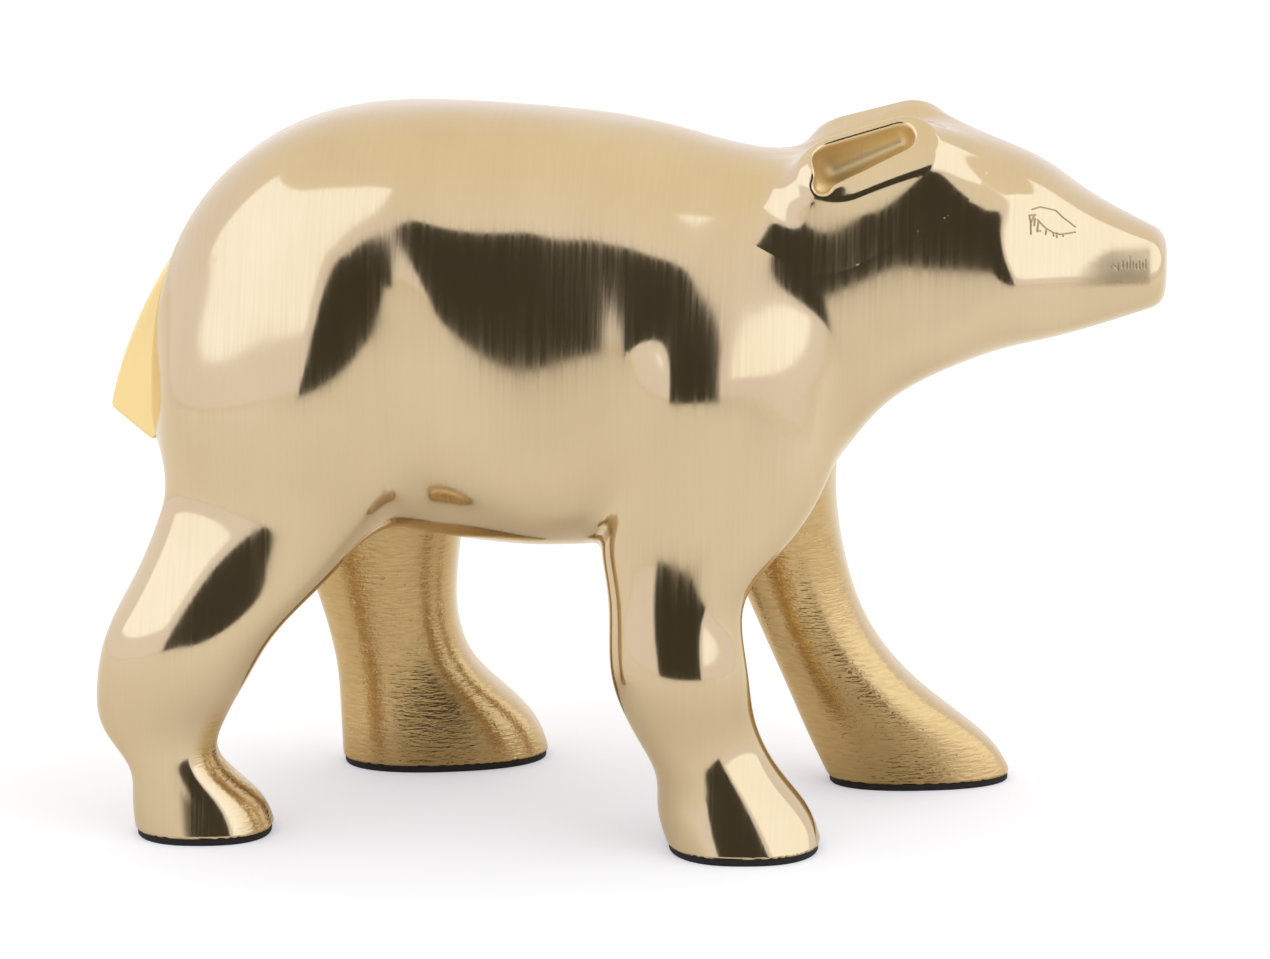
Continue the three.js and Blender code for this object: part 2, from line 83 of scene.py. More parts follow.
legForm = {
    "crownDrop": 24, "crownPower": 2.2, "seat": 44, "overlap": 0.15, "sole": 1.2,
    "room": (4, 6), "under": 1, "past": 2, "above": 12, "step": 0.6,           # meshed region round a leg
    "filed": {"start": 0.05, "gain": 2.4},                                 # inner faces
    "toe": {"leg": "right_hind", "start": 0.5, "gain": 4, "top": 25, "fade": 5},   # a foot with a rough front
    "crowns": {"right_front": 101, "left_front": 101, "right_hind": 96, "left_hind": 96},
    "ribs": {   # height, rear edge, front edge, middle across, half width, turn, squareness
        "right_front": [
            (1.2, 7.8, 33.2, -20.6, 12.2, 8, 2.4), (6, 6.05, 31.73, -20.51, 11.01, 12.93, 2.21),
            (12, 6.4, 26.46, -20.11, 10.42, 10.19, 2.19), (19, 2.33, 22.67, -20.12, 9.84, 7.43, 2.15),
            (29, -1.01, 21.47, -23.44, 9.5, 5.74, 2.12), (42, -1.82, 20.33, -20.13, 9.77, 5.49, 2.47),
            (52, -3.35, 28.5, -18.22, 10.22, 5.83, 2.48), (63, 0.47, 34, -17.39, 10.49, 15.18, 2.94),
            (79, 0.65, 33.84, -15.5, 11.53, 23.97, 3.06), (101, 4.46, 30.99, -10.37, 11.09, 16.75, 3.07)],
        "left_front": [
            (1.2, 30.8, 62.4, 21.8, 8.4, 12, 2.3), (6, 28.4, 60, 21.8, 8.4, 11, 2.3),
            (11, 26.2, 54, 21.2, 8.8, 9, 2.3), (18, 23.2, 45.2, 20.8, 9, 5, 2.3),
            (27, 19.2, 38, 20.8, 9.2, 2, 2.3), (38, 14.4, 33.8, 21, 9.8, 0, 2.3),
            (52, 8.6, 31.8, 19.4, 10.6, -6, 2.5), (63, 5.6, 32.6, 17.8, 11.4, -12, 2.9),
            (79, 0.65, 33.84, 15.5, 11.53, -23.97, 3.06), (101, 4.46, 30.99, 10.37, 11.09, -16.75, 3.07)],
        "right_hind": [
            (1.2, -80.8, -57.8, -22.6, 10, 8, 2.4), (6, -81.33, -59.4, -22.86, 9.02, 9.62, 2.4),
            (12, -80.82, -67.18, -23.8, 7.81, 5.83, 2.74), (18, -86.07, -66.24, -23.63, 7.92, 10.97, 2.63),
            (27, -86.11, -61.09, -24.65, 10.2, 6.11, 2.46), (35, -84.43, -56.4, -23.85, 10.93, 5.48, 2.6),
            (46, -79, -45.62, -20.3, 11, 7.09, 2.49), (57, -75.4, -37.88, -18.09, 11.21, -3.99, 2.27),
            (72, -74.6, -39.56, -17.53, 13.14, -8.38, 2.6), (96, -69, -33.6, -15.04, 11.72, -22.06, 2.68)],
        "left_hind": [
            (1.2, -54.4, -18.4, 25, 10.4, 15, 2.3), (6, -54.6, -19.8, 25, 10.2, 14, 2.3),
            (11, -54.8, -24, 24.8, 9.8, 11, 2.3), (17, -55.2, -31, 24.6, 9.4, 7, 2.3),
            (26, -57.2, -34.2, 24.2, 9.6, 2, 2.3), (38, -61, -33.6, 23.4, 10.8, 0, 2.3),
            (50, -64.6, -31.6, 21.2, 11.6, 4, 2.5), (60, -69, -32, 19.2, 12.4, 10, 2.6),
            (72, -74.6, -39.56, 17.53, 13.14, 8.38, 2.6), (96, -69, -33.6, 15.04, 11.72, 22.06, 2.68)],
    },
}

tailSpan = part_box("tail")
shift = Vector((firstBox[1][0] * 1000 - bodyForm["nose"],
                (tailSpan[0].y + tailSpan[1].y) * 500, 0))
print("frame loaded, shift in mm", tuple(round(v, 3) for v in shift))


# Curves through the ribs, evened out over a few millimetres, with their slopes, on a fine row of places.
def ribCurves(ribs, step=0.05, spread=2.5):
    rows = np.array(ribs, float)
    at = rows[:, 0]
    last = len(at) - 1
    places = np.arange(at[0], at[-1] + step, step)
    k = np.clip(np.searchsorted(at, places) - 1, 0, last - 1)
    span = at[k + 1] - at[k]
    t = np.clip((places - at[k]) / span, 0, 1)
    lower = np.maximum(np.arange(last + 1) - 1, 0)
    upper = np.minimum(np.arange(last + 1) + 1, last)
    reach = round(3 * spread / step)
    bell = np.exp(-0.5 * (np.arange(-reach, reach + 1) * step / spread) ** 2)
    bell /= bell.sum()
    columns = []
    for v in rows.T[1:]:
        slope = (v[upper] - v[lower]) / (at[upper] - at[lower])
        curve = (v[k] * (1 + 2 * t) * (1 - t) ** 2 + slope[k] * span * t * (1 - t) ** 2
                 + v[k + 1] * t * t * (3 - 2 * t) + slope[k + 1] * span * t * t * (t - 1))
        before, after = 2 * curve[0] - curve[reach:0:-1], 2 * curve[-1] - curve[-2:-reach - 2:-1]
        curve = np.convolve(np.concatenate([before, curve, after]), bell, "valid")
        columns.append((curve, np.gradient(curve, step)))
    return places, columns


def readCurves(table, at):
    places, columns = table
    return [(np.interp(at, places, c), np.interp(at, places, d)) for c, d in columns]


bodyCurves = ribCurves(bodyForm["ribs"])
legCurves = {name: ribCurves(ribs) for name, ribs in legForm["ribs"].items()}
tiny = 1e-4
slopeStep = 0.04        # half the span, in mm, over which a slope is measured
leastSlope = 0.05
longestMove = 0.4       # farthest that a corner is moved at a time


# Distance to a lofted form whose end is rounded off; g is 1 on the unrounded section.
def cappedDistance(g, gSide, gAlong, t, tSlope, power):
    t = np.clip(t, 0, None)
    f = (g ** power + t ** power) ** (1 / power)
    dg = (g / f) ** (power - 1)
    dt = (t / f) ** (power - 1)
    slope = np.sqrt((dg * gSide) ** 2 + (dg * gAlong + dt * tSlope) ** 2)
    return (f - 1) / np.maximum(slope, tiny)


def bodyDistance(x, y, z):
    (top, topD), (low, lowD), (wide, wideD), (half, halfD), (p, _) = readCurves(bodyCurves, x)
    f = bodyForm
    rise = z - wide
    above = rise > 0
    tall = np.where(above, top - wide, wide - low)
    tallD = np.where(above, topD - wideD, wideD - lowD)
    u = np.abs(y) / half + tiny
    v = np.abs(rise) / tall + tiny
    u1, v1 = u ** (p - 1), v ** (p - 1)
    g = (u1 * u + v1 * v) ** (1 / p)
    k = g ** (1 - p)
    side = k * np.sqrt((u1 / half) ** 2 + (v1 / tall) ** 2)
    along = -k * (u1 * u * halfD / half + v1 * v * tallD / tall + v1 * np.sign(rise) * wideD / tall)
    rumpRun = f["rumpStart"] - f["rump"]
    back = cappedDistance(g, side, along, (f["rumpStart"] - x) / rumpRun, -1 / rumpRun, f["rumpPower"])
    noseT = (x - f["nose"] + f["noseRound"]) / f["noseRound"]
    front = cappedDistance(g, side, along, noseT, 1 / f["noseRound"], f["nosePower"])
    return np.where(x < 0, back, front)


def legDistance(name, x, y, z):
    curves = readCurves(legCurves[name], z)
    (rear, rearD), (front, frontD), (mid, midD), (half, halfD), (turn, turnD), (p, _) = curves
    c, s = np.cos(np.radians(turn)), np.sin(np.radians(turn))
    turnD = np.radians(turnD)
    centre, centreD = (rear + front) / 2, (rearD + frontD) / 2
    long, longD = (front - rear) / 2, (frontD - rearD) / 2
    a = (x - centre) * c + (y - mid) * s
    b = (y - mid) * c - (x - centre) * s
    u = np.abs(a) / long + tiny
    v = np.abs(b) / half + tiny
    u1, v1 = u ** (p - 1), v ** (p - 1)
    g = (u1 * u + v1 * v) ** (1 / p)
    k = g ** (1 - p)
    side = k * np.sqrt((u1 / long) ** 2 + (v1 / half) ** 2)
    aD = turnD * b - centreD * c - midD * s
    bD = centreD * s - midD * c - turnD * a
    along = k * (u1 * np.sign(a) * aD / long - u1 * u * longD / long
                 + v1 * np.sign(b) * bD / half - v1 * v * halfD / half)
    drop = legForm["crownDrop"]
    t = (z - legForm["crowns"][name] + drop) / drop
    return cappedDistance(g, side, along, t, 1 / drop, legForm["crownPower"])


def softMin(a, b, k):
    h = np.clip(k - np.abs(a - b), 0, None)
    return np.minimum(a, b) - h * h / (4 * k)


def softMax(a, b, k):
    return -softMin(-a, -b, k)


def smoothStep(v, low, high):
    t = np.clip((v - low) / (high - low), 0, 1)
    return t * t * (3 - 2 * t)


def muzzleCut(x, y, z):
    turn = math.radians(bodyForm["turn"])
    ex, ey, ez = bodyForm["edge"]
    out = (x - ex) * math.sin(turn) + (np.abs(y) - ey) * math.cos(turn)
    leans = [math.radians(lean) for lean in bodyForm["leans"]]
    upper, lower = (out * math.cos(lean) + (z - ez) * math.sin(lean) for lean in leans)
    lips = bodyForm["lips"]
    swell = lips["height"] * smoothStep(x, *lips["x"]) * (1 - smoothStep(z, *lips["z"]))
    return softMax(upper, lower, bodyForm["ridgeBlend"]) - swell


# The whole casting as one distance: body, flat muzzle sides, legs flowing into the body, flat soles.
def skinDistance(x, y, z):
    f = softMax(bodyDistance(x, y, z), muzzleCut(x, y, z), bodyForm["cutBlend"])
    for name in legForm["ribs"]:
        blend = bodyForm["frontBlend" if name.endswith("front") else "hindBlend"]
        f = softMin(f, legDistance(name, x, y, z), blend)
    return softMax(f, legForm["sole"] - z, bodyForm["soleBlend"])


# Engraved strokes on both sides of the muzzle: lids, corner hatching, lashes, mouth ticks (x, z in mm).
engraving = {
    "halfWidth": 0.085, "depth": 0.09, "cuts": 9, "facing": 0.6, "clear": 4,
    "strokes": [
        [(65.62, 105.69), (66.88, 106.0), (68.6, 105.55), (69.33, 105.34), (70.54, 104.19), (71.55, 103.42),
         (72.48, 102.65)],
        [(66.56, 104.02), (67.31, 103.17), (67.96, 102.6), (69.06, 101.91), (70.15, 101.58), (71.6, 101.69),
         (72.5, 101.83)],
        [(66.18, 104.82), (65.19, 104.77), (65.44, 103.53), (65.52, 101.81)],
        [(65.92, 104.59), (65.44, 103.53)], [(66.11, 104.22), (65.99, 103.14)],
        [(66.66, 103.74), (66.48, 102.21), (66.97, 102.28)], [(67.96, 102.5), (67.85, 101.69)],
        [(69.6, 101.85), (69.62, 101.16)], [(69.02, 101.82), (69.11, 101.4)],
        [(70.51, 101.57), (70.61, 101.29)],
        [(78.19, 96.1), (78.73, 96.44), (79.38, 95.86)], [(79.4, 96.59), (79.42, 95.58)],
        [(80.11, 97.01), (80.21, 96.0)], [(80.81, 96.79), (80.8, 95.97)], [(81.3, 97.68), (81.39, 95.85)],
        [(81.82, 96.83), (81.84, 95.92)], [(82.32, 96.53), (82.33, 95.84)],
        [(82.82, 96.87), (82.88, 95.78)], [(83.37, 96.57), (83.39, 95.84)],
        [(83.82, 97.1), (83.8, 95.82)],
    ],
    "patches": [((64.4, 100.4), (73.4, 106.8)), ((77.6, 95), (84.6, 98.3))],   # finely meshed areas
}


# 1 in the middle of a stroke, 0 away from all of them.
def engraved(x, y, z):
    nearest = np.full(np.shape(x), np.inf)
    for stroke in engraving["strokes"]:
        for (x0, z0), (x1, z1) in zip(stroke, stroke[1:]):
            dx, dz = x1 - x0, z1 - z0
            t = np.clip(((x - x0) * dx + (z - z0) * dz) / (dx * dx + dz * dz), 0, 1)
            nearest = np.minimum(nearest, np.hypot(x - x0 - t * dx, z - z0 - t * dz))
    return np.exp(-(nearest / engraving["halfWidth"]) ** 2) * (np.abs(y) > engraving["clear"])


# Dulled area round the mouth, darkened with painted shade that stands in for a dark reflection: arched above,
# level below, running out towards the cheek.
mouthForm = {
    "x": (70.5, 79), "front": (84.2, 85), "arch": (94.6, 98.9), "low": (93.2, 93.7), "soft": 0.8,
    "strength": 0.5,
}


def mouthShade(x, y, z):
    f = mouthForm
    rise = smoothStep(x, *f["x"])
    top = f["arch"][0] + (f["arch"][1] - f["arch"][0]) * rise
    run = rise * (1 - smoothStep(x, *f["front"]))
    area = run * smoothStep(z, *f["low"]) * (1 - smoothStep(z - top, -f["soft"], f["soft"]))
    return f["strength"] * area * (np.abs(y) > engraving["clear"])


# The skin of the body halves, drawn back a little behind the scoops of the ears.
def headDistance(x, y, z):
    skin = skinDistance(x, y, z)
    (x0, _, z0), (x1, _, _) = earForm["low"], earForm["high"]
    near = np.broadcast_to((x > x0) & (x < x1) & (z > z0), skin.shape)
    spots = [np.broadcast_to(v, skin.shape)[near] for v in (x, np.abs(y), z)]
    skin[near] = np.maximum(skin[near], earForm["hide"] - earHollow(*spots))
    return skin


def shellDistance(x, y, z):
    return headDistance(x, y, z) + engraving["depth"] * engraved(x, y, z)


# Ear: a round-ended cone cut off at the mouth, with a scoop that runs out below its rear end and a lobe
# behind that. Forms in the ear are placed across it, along it from the rear, and out of it.
earForm = {
    "rear": (30.4, 16, 111.8), "tip": (48.8, 11.8, 117.6), "mouth": (0.2, 0.8, 0.45), "rise": -3,
    "cone": {"start": (0.3, 4.7, -0.6), "end": (0.5, 15.5, -0.6), "radii": (4, 3), "deep": 1.4},
    "dish": {"start": (0.4, 4.1, -0.7), "end": (1, 15.3, -0.7), "radii": (3.25, 2.2), "deep": 1.75},
    "runout": {"start": (0.2, 3.2, -1), "end": (-2.8, 0.9, -0.3), "radii": (1.9, 1.3), "deep": 1},
    "lobe": ((31.4, 14, 111), (30.4, 13.4, 108)), "lobeRadius": 2.2, "lobeBlend": 3,
    "lip": 1, "hollowBlend": 2, "hide": 0.3,
    "root": 15, "rootReach": 11.8, "rootSink": 0.03, "crown": (0, 7),
    # The scoop gets a painted warm glow and painted shade that deepens with its depth.
    "goldenAndGlow": 0.45, "goldenEdge": 0.5, "shade": 0.35, "shadeDepth": (3.6, 6.2),
    "low": (15, 0, 93), "high": (62, 24, 123), "step": 0.32,           # meshed region
}


def earPlace(x, y, z):
    rear, tip, mouth = (np.array(earForm[k]) for k in ("rear", "tip", "mouth"))
    long = (tip - rear) / np.linalg.norm(tip - rear)
    mouth = mouth - long * (mouth @ long)
    mouth /= np.linalg.norm(mouth)
    d = (x - rear[0], y - rear[1], z - rear[2])
    return [sum(v * a for v, a in zip(d, axis)) for axis in (np.cross(long, mouth), long, mouth)]


# Round-ended cone between two places in the ear, stretched out of it by deep.
def earCone(place, start, end, radii, deep):
    stretch = np.array((1, 1, 1 / deep))
    axis = (np.array(end) - start) * stretch
    span = np.linalg.norm(axis)
    axis = axis / span
    slant = (radii[0] - radii[1]) / span
    straight = math.sqrt(1 - slant * slant)

    def cone(spot):
        d = [(v - s) * k for v, s, k in zip(spot, start, stretch)]
        far = sum(v * v for v in d)
        t = sum(v * a for v, a in zip(d, axis))
        out = np.sqrt(np.maximum(far - t * t, 0))
        side = straight * t - slant * out
        end = np.where(side < 0, np.sqrt(far) - radii[0], np.hypot(out, t - span) - radii[1])
        return np.where((side < 0) | (side > straight * span), end, straight * out + slant * t - radii[0])

    rises = []
    for k in range(3):
        ahead, behind = list(place), list(place)
        ahead[k], behind[k] = place[k] + slopeStep, place[k] - slopeStep
        rises.append((cone(ahead) - cone(behind)) ** 2)
    return cone(place) / np.maximum(np.sqrt(sum(rises)) / (2 * slopeStep), leastSlope)


# As softMin, with a gentler start, and only a share of it.
def rootBlend(a, b, k, share):
    h = np.clip(1 - np.abs(a - b) / k, 0, None)
    return np.minimum(a, b) - share * h ** 3 * k / 6


def earHollow(x, y, z):
    place = earPlace(x, y, z)
    dish, runout = (earCone(place, **earForm[key]) for key in ("dish", "runout"))
    return softMin(dish, runout, earForm["hollowBlend"])


# The left ear with its root flowing into the head; the right one is its mirror image.
def earDistance(x, y, z):
    f = earForm
    place = earPlace(x, y, z)
    cup = softMax(earCone(place, **f["cone"]), place[2] - f["rise"], f["lip"])
    (x0, y0, z0), (x1, y1, z1) = f["lobe"]
    lx, ly, lz = x1 - x0, y1 - y0, z1 - z0
    dx, dy, dz = x - x0, y - y0, z - z0
    t = np.clip((dx * lx + dy * ly + dz * lz) / (lx * lx + ly * ly + lz * lz), 0, 1)
    lobe = np.sqrt((dx - t * lx) ** 2 + (dy - t * ly) ** 2 + (dz - t * lz) ** 2) - f["lobeRadius"]
    cup = softMin(cup, lobe, f["lobeBlend"])
    share = smoothStep(y, *f["crown"])                # the roots die out where they would meet on the crown
    rooted = rootBlend(cup, bodyDistance(x, y, z), f["root"], share) + f["rootSink"]      # edges dip inside
    rooted = np.maximum(rooted, cup - f["rootReach"])
    return softMax(rooted, -earHollow(x, y, z), f["lip"])


# Mesh of the zero surface of a distance on a regular grid: one corner per crossed cell, one face per
# crossed grid edge.
def netSurface(distance, low, high, step):
    axes = [np.arange(a, b + step, step) for a, b in zip(low, high)]
    f = distance(axes[0][:, None, None], axes[1][None, :, None], axes[2][None, None, :])
    shape = f.shape
    inside = f < 0
    cells = tuple(n - 1 for n in shape)
    count = np.zeros(cells)
    place = np.zeros(cells + (3,))
    crossings = []
    for axis in range(3):
        head = [slice(None)] * 3
        tail = [slice(None)] * 3
        head[axis], tail[axis] = slice(None, -1), slice(1, None)
        f0, f1 = f[tuple(head)], f[tuple(tail)]
        cross = inside[tuple(head)] != inside[tuple(tail)]
        at = np.argwhere(cross)
        t = f0[cross] / (f0[cross] - f1[cross])
        crossings.append((at, inside[tuple(head)][cross]))
        point = at.astype(float)
        point[:, axis] += t
        others = [a for a in range(3) if a != axis]
        for i in (0, 1):
            for j in (0, 1):
                cell = at.copy()
                cell[:, others[0]] -= i
                cell[:, others[1]] -= j
                good = np.all((cell >= 0) & (cell < cells), axis=1)
                spot = tuple(cell[good].T)
                np.add.at(count, spot, 1)
                np.add.at(place, spot, point[good])
    used = np.argwhere(count > 0)
    number = np.full(cells, -1)
    number[tuple(used.T)] = np.arange(len(used))
    spots = place[tuple(used.T)] / count[tuple(used.T)][:, None]
    corners = np.array([a[0] for a in axes]) + spots * step
    faces = []
    for axis, (at, startsInside) in enumerate(crossings):
        second, third = (axis + 1) % 3, (axis + 2) % 3
        ring = []
        for i, j in ((1, 1), (0, 1), (0, 0), (1, 0)):
            cell = at.copy()
            cell[:, second] -= i
            cell[:, third] -= j
            good = np.all((cell >= 0) & (cell < cells), axis=1)
            cell[~good] = 0
            ring.append(np.where(good, number[tuple(cell.T)], -1))
        quad = np.stack(ring, 1)
        quad[~startsInside] = quad[~startsInside][:, ::-1]
        faces.append(quad[np.all(quad >= 0, axis=1)])
    return corners, np.concatenate(faces)


def slopeAt(distance, p, e=slopeStep):
    x, y, z = p.T
    rises = [distance(x + e, y, z) - distance(x - e, y, z),
             distance(x, y + e, z) - distance(x, y - e, z),
             distance(x, y, z + e) - distance(x, y, z - e)]
    return np.stack(rises, 1) / (2 * e)


def settle(distance, p, rounds=3):
    for _ in range(rounds):
        g = slopeAt(distance, p)
        size = np.maximum(np.sum(g * g, 1, keepdims=True), leastSlope)
        move = distance(*p.T)[:, None] * g / size
        p = p - np.clip(move, -longestMove, longestMove)
    g = slopeAt(distance, p)
    return p, g / np.maximum(np.linalg.norm(g, axis=1, keepdims=True), tiny)


def addObject(name, mesh):
    piece = bpy.data.objects.new(name, mesh)
    bpy.context.scene.collection.objects.link(piece)
    return piece


def toFrame(p):
    return (np.asarray(p) + np.array(shift)) / 1000


# A casting cut from a distance, closed flat where it meets the next casting; planes are (point, normal).
def castPiece(name, distance, rough, low, high, step, planes=(), patches=()):
    corners, faces = netSurface(rough, low, high, step)
    mesh = bpy.data.meshes.new(name)
    mesh.from_pydata(corners.tolist(), [], faces.tolist())
    form = bmesh.new()
    form.from_mesh(mesh)
    for point, normal in planes:
        parts = form.verts[:] + form.edges[:] + form.faces[:]
        bmesh.ops.bisect_plane(form, geom=parts, plane_co=point, plane_no=normal, clear_outer=True)
    loose = [v for v in form.verts if not v.link_faces]
    bmesh.ops.delete(form, geom=loose, context="VERTS")
    for (x0, z0), (x1, z1) in patches:
        edges = set()
        for face in form.faces:
            c = face.calc_center_median()
            if x0 < c.x < x1 and z0 < c.z < z1 and abs(face.normal.y) > engraving["facing"]:
                edges.update(face.edges)
        bmesh.ops.subdivide_edges(form, edges=list(edges), cuts=engraving["cuts"], use_grid_fill=True)
    rim = [e for e in form.edges if e.is_boundary]
    seam = np.array([any(e.is_boundary for e in v.link_edges) for v in form.verts])
    bmesh.ops.holes_fill(form, edges=rim, sides=0)
    form.to_mesh(mesh)
    form.free()
    points = np.zeros(len(mesh.vertices) * 3)
    mesh.vertices.foreach_get("co", points)
    points = points.reshape(-1, 3)
    moved, normals = settle(distance, points)
    moved[seam] = np.where(np.abs(moved[seam] - points[seam]) < longestMove, moved[seam], points[seam])
    for point, normal in planes:                      # seam corners stay on their plane
        n = np.array(normal, float)
        off = (moved - np.array(point)) @ n
        onPlane = seam & (np.abs((points - np.array(point)) @ n) < tiny)
        moved[onPlane] -= off[onPlane][:, None] * n
    mesh.vertices.foreach_set("co", toFrame(moved).ravel())
    mesh.polygons.foreach_set("use_smooth", np.ones(len(mesh.polygons), bool))
    mesh.update()
    mesh.normals_split_custom_set_from_vertices(normals.tolist())
    return addObject(name, mesh), moved, normals


def addValue(piece, name, values):
    layer = piece.data.attributes.new(name, "FLOAT", "POINT")
    layer.data.foreach_set("value", np.asarray(values, np.float32))


def install(piece, node, material):
    piece.data.materials.clear()
    piece.data.materials.append(material)
    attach(piece, "root")
    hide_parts(node)


# Node helpers
def addNode(tree, kind, links=(), **values):
    node = tree.nodes.new(kind)
    for key, value in values.items():
        setattr(node, key, value)
    for socket, source in dict(links).items():
        if isinstance(source, bpy.types.NodeSocket):
            tree.links.new(source, node.inputs[socket])
        else:
            node.inputs[socket].default_value = source
    return node


def addMath(tree, operation, a, b=0.0, clamp=False):
    return addNode(tree, "ShaderNodeMath", {0: a, 1: b}, operation=operation, use_clamp=clamp).outputs[0]


def addRange(tree, value, low, high, start=0.0, end=1.0):
    node = addNode(tree, "ShaderNodeMapRange", {0: value, 1: low, 2: high, 3: start, 4: end})
    return node.outputs[0]


def addNoise(tree, coords, stretch, scale, detail=2.0, turn=(0, 0, 0)):
    mapped = addNode(tree, "ShaderNodeMapping", {0: coords, 2: turn, 3: stretch})
    settings = {"Vector": mapped.outputs[0], "Scale": scale, "Detail": detail}
    return addNode(tree, "ShaderNodeTexNoise", settings).outputs[0]


brassForm = {
    # The golden colour is the tail's yellower brass and also a painted warm glow in the ear scoops.
    "pale": (0.71, 0.585, 0.415, 1), "deep": (0.66, 0.535, 0.362, 1), "goldenAndGlow": (0.98, 0.78, 0.41, 1),
    "filedTint": (0.63, 0.46, 0.235, 1), "wornTint": (0.565, 0.4, 0.195, 1),
    # The patina colour fills the engraved strokes and also paints shade round the mouth; the last colour is
    # painted shade for the ear scoops and the far feet.
    "patinaAndShade": (0.26, 0.19, 0.11, 1), "paintedShade": (0.27, 0.185, 0.075, 1),
    "roughness": 0.105, "spread": (-0.03, 0.04),
    "filedRoughness": 0.21, "satinRoughness": 0.5, "cutRoughness": 0.44,
    "brush": 0.025, "brushHeight": 0.0001, "fileMarks": 0.42, "fileHeight": 0.0003,
    "cloudShare": 0.85, "brushShare": 0.15, "grainShare": 0.4, "pitShare": 0.5,
    "noises": {   # stretch, scale, detail, turn
        "brush": ((1, 0.04, 0.03), 2200, 3),                         # upright polishing lines
        "cloud": ((1, 1, 0.6), 45, 3),
        "strokes": ((0.16, 0.16, 1), 2600, 2, (0.2, 0.35, 0)),       # file strokes across the leg
        "crossed": ((0.2, 0.2, 1), 2100, 2, (-0.25, -0.3, 0)),
        "grain": ((1, 1, 1), 1500, 4),
        "pits": ((0.7, 0.7, 1), 900, 1),
    },
    "ranges": {"crossed": (0.42, 0.58), "pits": (0.68, 0.76), "tone": (0.35, 0.65), "worn": (0.58, 0.38),
               "brush": (0.3, 0.7)},
}


def brassMaterial(name):
    f = brassForm
    material = bpy.data.materials.new(name)
    material.use_nodes = True
    tree = material.node_tree
    tree.nodes.clear()
    coords = addNode(tree, "ShaderNodeTexCoord").outputs["Object"]
    noise = {key: addNoise(tree, coords, *row) for key, row in f["noises"].items()}
    filed, cut, goldenAndGlow, satin, paintedShade = (
        addNode(tree, "ShaderNodeAttribute", attribute_name=key).outputs["Fac"]
        for key in ("filed", "engraved", "goldenAndGlow", "satin", "paintedShade"))

    def mix(factor, a, b):
        return addNode(tree, "ShaderNodeMix", {0: factor, 6: a, 7: b}, data_type="RGBA").outputs[2]

    def ranged(value, key, *ends):
        return addRange(tree, value, *f["ranges"][key], *ends)

    def share(value, part):
        return addMath(tree, "MULTIPLY", value, part)

    turned = ranged(noise["cloud"], "crossed")
    marks = addNode(tree, "ShaderNodeMix", {0: turned, 2: noise["strokes"], 3: noise["crossed"]}).outputs[0]
    tone = addMath(tree, "ADD", share(noise["cloud"], f["cloudShare"]), share(noise["brush"], f["brushShare"]))
    # The tail's yellower brass, and a painted warm glow in the ear scoops.
    base = mix(goldenAndGlow, mix(ranged(tone, "tone"), f["pale"], f["deep"]), f["goldenAndGlow"])
    base = mix(filed, base, mix(ranged(marks, "worn"), f["filedTint"], f["wornTint"]))
    # Patina in the engraved strokes and painted shade round the mouth, then painted shade in the ear scoops
    # and down the far feet.
    base = mix(paintedShade, mix(cut, base, f["patinaAndShade"]), f["paintedShade"])
    rough = ranged(noise["brush"], "brush", *(f["roughness"] + v for v in f["spread"]))
    for area, key in ((filed, "filedRoughness"), (satin, "satinRoughness"), (cut, "cutRoughness")):
        rough = addMath(tree, "ADD", rough, share(area, f[key] - f["roughness"]), True)
    lines = addNode(tree, "ShaderNodeBump", {
        "Strength": f["brush"], "Distance": f["brushHeight"], "Height": noise["brush"]})
    file = addMath(tree, "ADD", marks, share(noise["grain"], f["grainShare"]))
    file = addMath(tree, "SUBTRACT", file, share(ranged(noise["pits"], "pits"), f["pitShare"]))
    normal = addNode(tree, "ShaderNodeBump", {
        "Strength": share(filed, f["fileMarks"]), "Distance": f["fileHeight"], "Height": file,
        "Normal": lines.outputs[0]})
    shader = addNode(tree, "ShaderNodeBsdfPrincipled", {
        "Base Color": base, "Metallic": 1.0, "Roughness": rough, "Normal": normal.outputs[0]})
    addNode(tree, "ShaderNodeOutputMaterial", {0: shader.outputs[0]})
    return material


rubberForm = {
    "dark": (0.004, 0.004, 0.004, 1), "light": (0.012, 0.012, 0.012, 1), "roughness": 0.75,
    "grain": ((1, 1, 1), 3000, 3), "bump": 0.3, "height": 0.0001,
}


def rubberMaterial():
    f = rubberForm
    material = bpy.data.materials.new("padRubber")
    material.use_nodes = True
    tree = material.node_tree
    tree.nodes.clear()
    coords = addNode(tree, "ShaderNodeTexCoord").outputs["Object"]
    grain = addNoise(tree, coords, *f["grain"])
    base = addNode(tree, "ShaderNodeMix", {0: grain, 6: f["dark"], 7: f["light"]}, data_type="RGBA").outputs[2]
    bump = addNode(tree, "ShaderNodeBump", {"Strength": f["bump"], "Distance": f["height"], "Height": grain})
    shader = addNode(tree, "ShaderNodeBsdfPrincipled", {
        "Base Color": base, "Roughness": f["roughness"], "Normal": bump.outputs[0]})
    addNode(tree, "ShaderNodeOutputMaterial", {0: shader.outputs[0]})
    return material


polished = brassMaterial("polishedBrass")
filedBrass = brassMaterial("filedBrass")
rubber = rubberMaterial()
print("materials made")

